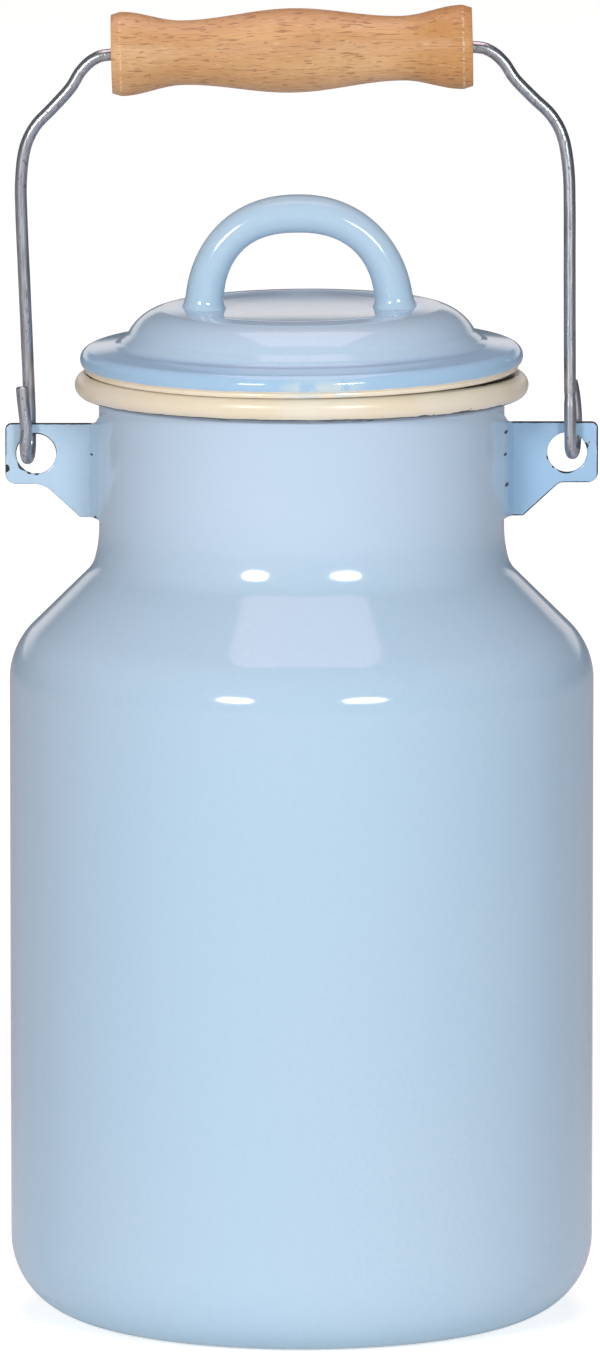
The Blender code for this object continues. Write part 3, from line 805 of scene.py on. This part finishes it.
def make_ears():
    """Both ears, each with its own wear."""
    right_arcs = [(-120, -72, 0.30 * MM), (-172, -158, 0.30 * MM), (-138, -130, 0.30 * MM),
                  (10, 30, 0.50 * MM)]
    right_chips = [(48.8 * MM, 213.4 * MM, 0.44 * MM), (48.6 * MM, 208.1 * MM, 0.38 * MM),
                   (49.0 * MM, 200.6 * MM, 0.48 * MM), (68.7 * MM, 210.2 * MM, 0.16 * MM)]
    right_wear = (0.34 * MM, 0.36 * MM, 0.36 * MM, 0.30 * MM)
    left_arcs = [(0, 150, 0.22 * MM), (120, 178, 0.14 * MM), (-58, -24, 0.45 * MM), (-76, -62, 0.32 * MM),
                 (-98, -84, 0.30 * MM)]
    left_chips = [(70.8 * MM, 204.3 * MM, 0.95 * MM), (50.2 * MM, 207.8 * MM, 0.30 * MM),
                  (49.3 * MM, 193.0 * MM, 0.30 * MM)]
    left_wear = (0.34 * MM, 0.30 * MM, 0.13 * MM, 0.10 * MM)
    # 0.65 and 0.1 are the shares of painted shade on the right and left blade
    right = ear_material("right_ear_enamel", 1, RIGHT_EAR_FILLET, RIGHT_EAR_LIFT, 0.65,
                         right_wear, right_arcs, right_chips)
    left = ear_material("left_ear_enamel", -1, LEFT_EAR_FILLET, 0.0, 0.1,
                        left_wear, left_arcs, left_chips)
    make_ear("right_ear_plate", "right_ear", 1, RIGHT_EAR_FILLET, RIGHT_EAR_LIFT, right)
    make_ear("left_ear_plate", "left_ear", -1, LEFT_EAR_FILLET, 0.0, left)


# ------------------------------------------------------------------ the bail and its grip
def half_bail(hook_x, hook_drop, free_end):
    """One half of the wire's centre line, from under the grip to the hook's free tip, as if on the right."""
    outline = [
        (10.0, 304.5), (30.0, 304.5), (43.0, 304.4), (47.2, 303.4), (50.4, 300.6), (53.0, 296.6),
        (57.2, 292.1), (61.6, 287.6), (64.2, 282.2), (65.3, 274.5), (65.4, 266.0), (65.1, 250.0),
        (64.8, 232.0), (64.6, 218.0),
    ]
    drop = GRIP_Z - HOOK_CENTRE_Z
    points = []
    for x, z in outline:
        height = z * MM
        points.append(Vector((x * MM, -HOOK_RADIUS * (GRIP_Z - height) / drop, height)))
    path = smooth_path(points, 9)
    turns = 24
    for step in range(turns + 1):
        angle = pi * step / turns
        x = LEG_X + (hook_x - LEG_X) * (1 - cos(angle)) / 2
        path.append(Vector((x, -HOOK_RADIUS * cos(angle), HOOK_CENTRE_Z - hook_drop * sin(angle))))
    bow = [(hook_x / MM, HOOK_CENTRE_Z / MM)] + free_end
    return path + smooth_path([Vector((x * MM, HOOK_RADIUS, z * MM)) for x, z in bow], 6)[1:]


def lean(point):
    """Set the hand-bent frame askew, more the higher above the hooks."""
    rise = max(0.0, point.z - PIVOT_Z)
    grown = min(1.0, rise / LEAN_GROWTH)
    x = point.x + BAIL_OFFSET - rise * BAIL_SHIFT
    return Vector((x, point.y, point.z + point.x * tan(BAIL_LEAN) * grown))


def pinched(point):
    """The wire's radius: two marks of the bending tool on the right leg, and a hair of unevenness."""
    radius = WIRE_RADIUS * (1 + 0.006 * sin(point.z / (2.3 * MM)))
    if point.x > 0 and point.y < 0:
        for mark in (221.8 * MM, 224.0 * MM):
            radius -= 0.16 * MM * exp(-((point.z - mark) / (0.45 * MM)) ** 2)
    return radius


def make_bail():
    """The whole wire: the left half turned round, then the right, with chamfered ends."""
    right_end = [(66.1, 213.5), (66.15, 216.3), (66.0, 219.2), (65.7, 222.0), (65.2, 224.7)]
    left_end = [(65.35, 213.5), (65.45, 215.2), (65.7, 218.0), (66.0, 221.5), (66.2, 224.7)]
    right = half_bail(HOOK_X, HOOK_DROP, right_end)
    left = half_bail(LEFT_HOOK_X, LEFT_HOOK_DROP, left_end)
    left = [Vector((-p.x, -p.y, p.z)) for p in left]
    path = [lean(p) for p in list(reversed(left)) + right]
    radii = [pinched(p) for p in path]
    chamfer = 0.3 * MM
    for end, inner in ((0, 1), (-1, -2)):
        tip = path[end] + (path[inner] - path[end]).normalized() * chamfer
        path.insert(1 if end == 0 else len(path) - 1, tip)
        radii.insert(1 if end == 0 else len(radii) - 1, WIRE_RADIUS)
        radii[end] = WIRE_RADIUS - chamfer
    wire = sweep("bent_steel_wire", path, radii, [wire_material()], sides=32)
    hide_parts("bail_wire")
    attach(wire, "bail")


def grip_radius(along):
    """A bulge in the middle, a waist each side and full ends."""
    swell = GRIP_END_RADIUS - GRIP_WAIST_RADIUS
    distance = abs(along)
    if distance < GRIP_WAIST_X:
        return GRIP_WAIST_RADIUS + swell * (1 + cos(pi * distance / GRIP_WAIST_X)) / 2
    run = GRIP_LENGTH / 2 - GRIP_CHAMFER - GRIP_WAIST_X
    share = min(1.0, (distance - GRIP_WAIST_X) / run)
    return GRIP_WAIST_RADIUS + swell * (1 - cos(pi * share)) / 2


def make_grip():
    """The turned roller, bored through for the wire."""
    half = GRIP_LENGTH / 2
    steps = 96
    shoulder = half - GRIP_CHAMFER
    outside = []
    for step in range(steps + 1):
        height = shoulder * (1 - 2 * step / steps)
        outside.append((grip_radius(height), height))
    end_radius = GRIP_END_RADIUS - GRIP_CHAMFER_DROP
    bore_edge = [(GRIP_BORE + 0.4 * MM, half), (GRIP_BORE, half - 0.4 * MM)]
    top = rounded([outside[0], (end_radius, half)] + bore_edge, 0.12 * MM)
    bottom = [(radius, -height) for radius, height in top]
    profile = list(reversed(top)) + outside[1:-1] + bottom
    grip = lathe("turned_beech_grip", profile, [beech_material()], closed=True, segments=128)
    grip.matrix_world = Matrix.Translation(GRIP_PLACE) @ Matrix.Rotation(pi / 2 - BAIL_LEAN, 4, "Y")
    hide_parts("grip")
    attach(grip, "grip_roller")


# ------------------------------------------------------------------ the lid
def lid_place():
    """The loose lid's seat: pushed forward, and tilted."""
    turn = Matrix.Rotation(LID_LEAN, 4, "Y") @ Matrix.Rotation(LID_TILT, 4, "X")
    return Matrix.Translation(LID_SEAT) @ turn


def lid_profile():
    """The lid's outer skin: disc, crest, dome, crease, rolled brim and lip; then back underneath."""
    disc = [(0.0, DISC_Z), (DISC_RADIUS, DISC_Z)]
    crest = [(CREST_RADIUS - 1.8 * MM, CREST_Z - 0.2 * MM), (CREST_RADIUS, CREST_Z)]
    dome = arc(DOME_CENTRE, DOME_ROUND, 78, 28, 24)
    crease = arc(CREASE_CENTRE, CREASE_ROUND, 205, 258, 10)
    roll = arc((BRIM_RADIUS - BRIM_ROLL, BRIM_CENTRE), BRIM_ROLL, 78, -30, 20)
    lip = arc((LIP_RADIUS - 0.55 * MM, 0.8 * MM), 0.8 * MM, 25, -115, 10)
    top = [Vector(point) for point in disc[1:] + crest + dome[:1]]
    crown = [tuple(point) for point in smooth_path(top, 8)]
    return disc[:1] + crown + dome[1:] + crease + roll + lip


def make_lid():
    """The domed cover with its rolled brim, and the ring below it that plugs into the neck."""
    skin = lid_profile()
    underside = list(reversed(inset(skin[:-4], SHEET)))
    slots = [0] * len(skin) + [1] * len(underside)
    cover = lathe("domed_lid", skin + underside, [lid_material(), underside_material()], slots)
    cover.matrix_world = lid_place()
    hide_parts("lid_shell")
    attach(cover, "lid")

    thick = SHEET / 2
    outer = COLLAR_RADIUS
    foot = outer - COLLAR_TAPER
    ring = [(outer - thick, COLLAR_TOP), (outer, COLLAR_TOP), (outer, 2 * MM - COLLAR_DEPTH)]
    ring += [(foot, -COLLAR_DEPTH), (foot - SHEET, -COLLAR_DEPTH)]
    ring += [(outer - SHEET, 2 * MM - COLLAR_DEPTH), (outer - SHEET, COLLAR_TOP), (outer - thick, COLLAR_TOP)]
    collar = lathe("plug_ring", rounded(ring, 0.45 * MM)[:-1], [underside_material()], closed=True)
    collar.matrix_world = lid_place()
    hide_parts("lid_collar")
    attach(collar, "lid")


def handle_path():
    """The bow's centre line, an arch squarer than half an ellipse and more so on the left."""
    stations = 160
    foot = DISC_Z - 0.8 * MM
    path = []
    for station in range(stations + 1):
        angle = pi * station / stations
        right = angle < pi / 2
        span = HANDLE_RIGHT_SPAN if right else HANDLE_LEFT_SPAN
        squareness = HANDLE_RIGHT_SQUARENESS if right else HANDLE_LEFT_SQUARENESS
        across = span * copysign(abs(cos(angle)) ** squareness, cos(angle))
        up = HANDLE_RISE * abs(sin(angle)) ** squareness
        point = Vector((HANDLE_OFFSET + across, 0.0, HANDLE_BASE_Z + up))
        if point.z > foot:
            path.append(point)
    return path


def make_handle():
    """The bow, with its feet flared out into the enamel of the lid."""
    path = handle_path()
    radii = []
    for point in path:
        share = max(0.0, 1 - (point.z - DISC_Z + 0.5 * MM) / HANDLE_FLARE_HEIGHT)
        bend = sin(2 * atan2(point.z - HANDLE_BASE_Z, abs(point.x))) ** 2
        radii.append(HANDLE_TUBE * (1 - HANDLE_THINNING * bend) + HANDLE_FLARE * share ** 3)
    handle = sweep("bow_handle", path, radii, [handle_material()], sides=64)
    handle.matrix_world = lid_place()
    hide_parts("lid_handle")
    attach(handle, "lid")


# ------------------------------------------------------------------ studio
def area_light(name, shape, place, target, width, height, radiance, colour):
    """A soft box of a given brightness, so its size can change without its glare changing."""
    data = bpy.data.lights.new(name, "AREA")
    data.shape = shape
    data.size = width
    data.size_y = height
    data.energy = radiance * pi * width * height * (pi / 4 if shape == "ELLIPSE" else 1.0)
    data.color = colour
    light = bpy.data.objects.new(name, data)
    bpy.context.scene.collection.objects.link(light)
    light.location = place
    aim = Vector(target) - Vector(place)
    light.rotation_euler = aim.to_track_quat("-Z", "Y").to_euler()
    light.visible_camera = False


def around(azimuth):
    """A side box's place, from the pail's middle; azimuth from the front, positive to the right."""
    flat = SIDE_BOX_DISTANCE * cos(radians(SIDE_BOX_ELEVATION))
    rise = SIDE_BOX_DISTANCE * sin(radians(SIDE_BOX_ELEVATION))
    return (flat * sin(radians(azimuth)), -flat * cos(radians(azimuth)), LIGHT_TARGET[2] + rise)


def make_lights():
    """Two soft boxes in front and a large, dim, rosy one overhead."""
    left = around(LEFT_BOX_AZIMUTH)
    right = around(RIGHT_BOX_AZIMUTH)
    below = (*TOP_BOX_PLACE[:2], 0.0)
    area_light("left_box", "ELLIPSE", left, LIGHT_TARGET, 0.96, 0.57, 45.0, (0.98, 0.98, 0.97))
    area_light("right_box", "ELLIPSE", right, LIGHT_TARGET, 1.18, 0.55, 34.5, (0.89, 0.97, 1.0))
    area_light("top_box", "RECTANGLE", TOP_BOX_PLACE, below, 1.36, 1.81, 2.3, (1.0, 0.75, 0.83))


def make_world():
    """A dim room, darker to the right, with a pale panel low behind the pail for its glossy top."""
    world = bpy.data.worlds.new("studio")
    bpy.context.scene.world = world
    world.use_nodes = True
    tree = world.node_tree
    background = tree.nodes["Background"]
    place = tree.nodes.new("ShaderNodeTexCoord")
    split = tree.nodes.new("ShaderNodeSeparateXYZ")
    tree.links.new(place.outputs["Generated"], split.inputs[0])
    sideways, depth, height = split.outputs

    def ramp(value, low, high, start, end, style="SMOOTHSTEP"):
        node = tree.nodes.new("ShaderNodeMapRange")
        node.interpolation_type = style
        tree.links.new(value, node.inputs["Value"])
        for name, limit in zip(("From Min", "From Max", "To Min", "To Max"), (low, high, start, end)):
            node.inputs[name].default_value = limit
        return node.outputs["Result"]

    def combine(operation, first, second):
        node = tree.nodes.new("ShaderNodeMath")
        node.operation = operation
        tree.links.new(first, node.inputs[0])
        tree.links.new(second, node.inputs[1])
        return node.outputs[0]

    behind = ramp(depth, 0.80, 0.93, 0.0, 1.0)
    low = ramp(height, 0.18, 0.27, 1.0, 0.0)
    room = ramp(sideways, -0.9, 0.9, 0.20, 0.11, "LINEAR")
    above_floor = ramp(height, 0.05, 0.10, 0.0, 1.0)
    panel = combine("MULTIPLY", combine("MULTIPLY", behind, low), above_floor)
    panel = ramp(panel, 0.0, 1.0, 0.0, 0.84, "LINEAR")
    tree.links.new(combine("ADD", room, panel), background.inputs["Strength"])
    tint = tree.nodes.new("ShaderNodeMix")
    tint.data_type = "RGBA"
    tree.links.new(panel, tint.inputs["Factor"])
    tint.inputs[6].default_value = (0.82, 0.96, 1.05, 1.0)
    tint.inputs[7].default_value = (1.06, 0.97, 0.93, 1.0)
    tree.links.new(tint.outputs[2], background.inputs["Color"])


def make_floor():
    """A pale floor that glows for the camera, and a little round the pail's foot for its enamel."""
    shape = bmesh.new()
    bmesh.ops.create_circle(shape, cap_ends=True, segments=96, radius=FLOOR_RADIUS)
    graph = Graph("pale_floor")
    floor = finished(shape, "floor", [graph.material])
    graph.finish((0.86, 0.86, 0.86), 0.9)
    graph.feed(graph.shader.inputs["Specular IOR Level"], 0.0)
    path = graph.tree.nodes.new("ShaderNodeLightPath")
    away = graph.tree.nodes.new("ShaderNodeVectorMath")
    away.operation = "LENGTH"
    graph.feed(away.inputs[0], graph.place)
    brightening = graph.math("MULTIPLY_ADD", graph.step(away.outputs["Value"], 0.2, 1.4), 0.35, 0.50)
    near = graph.math("MULTIPLY", graph.step(away.outputs["Value"], 0.45, 0.12), 0.15)
    glow = graph.math("MULTIPLY_ADD", path.outputs["Is Camera Ray"], brightening, near)
    tint = graph.mix(path.outputs["Is Camera Ray"], (0.82, 0.90, 0.90), (1.0, 0.97, 0.94))
    graph.feed(graph.shader.inputs["Emission Color"], tint)
    graph.feed(graph.shader.inputs["Emission Strength"], glow)


def make_camera():
    """A long lens a little above the pail's top, looking slightly down."""
    data = bpy.data.cameras.new("camera")
    data.lens = CAMERA_LENS
    data.sensor_width = 36.0
    data.clip_end = 40.0
    camera = bpy.data.objects.new("camera", data)
    bpy.context.scene.collection.objects.link(camera)
    camera.location = CAMERA_PLACE
    camera.rotation_euler = (radians(90.0 - CAMERA_DIP), 0.0, 0.0)
    bpy.context.scene.camera = camera


make_camera()
make_can()
make_ears()
make_bail()
make_grip()
make_lid()
make_handle()
make_floor()
make_world()
make_lights()
bpy.context.scene.view_settings.view_transform = "Standard"
bpy.context.scene.view_settings.look = "None"
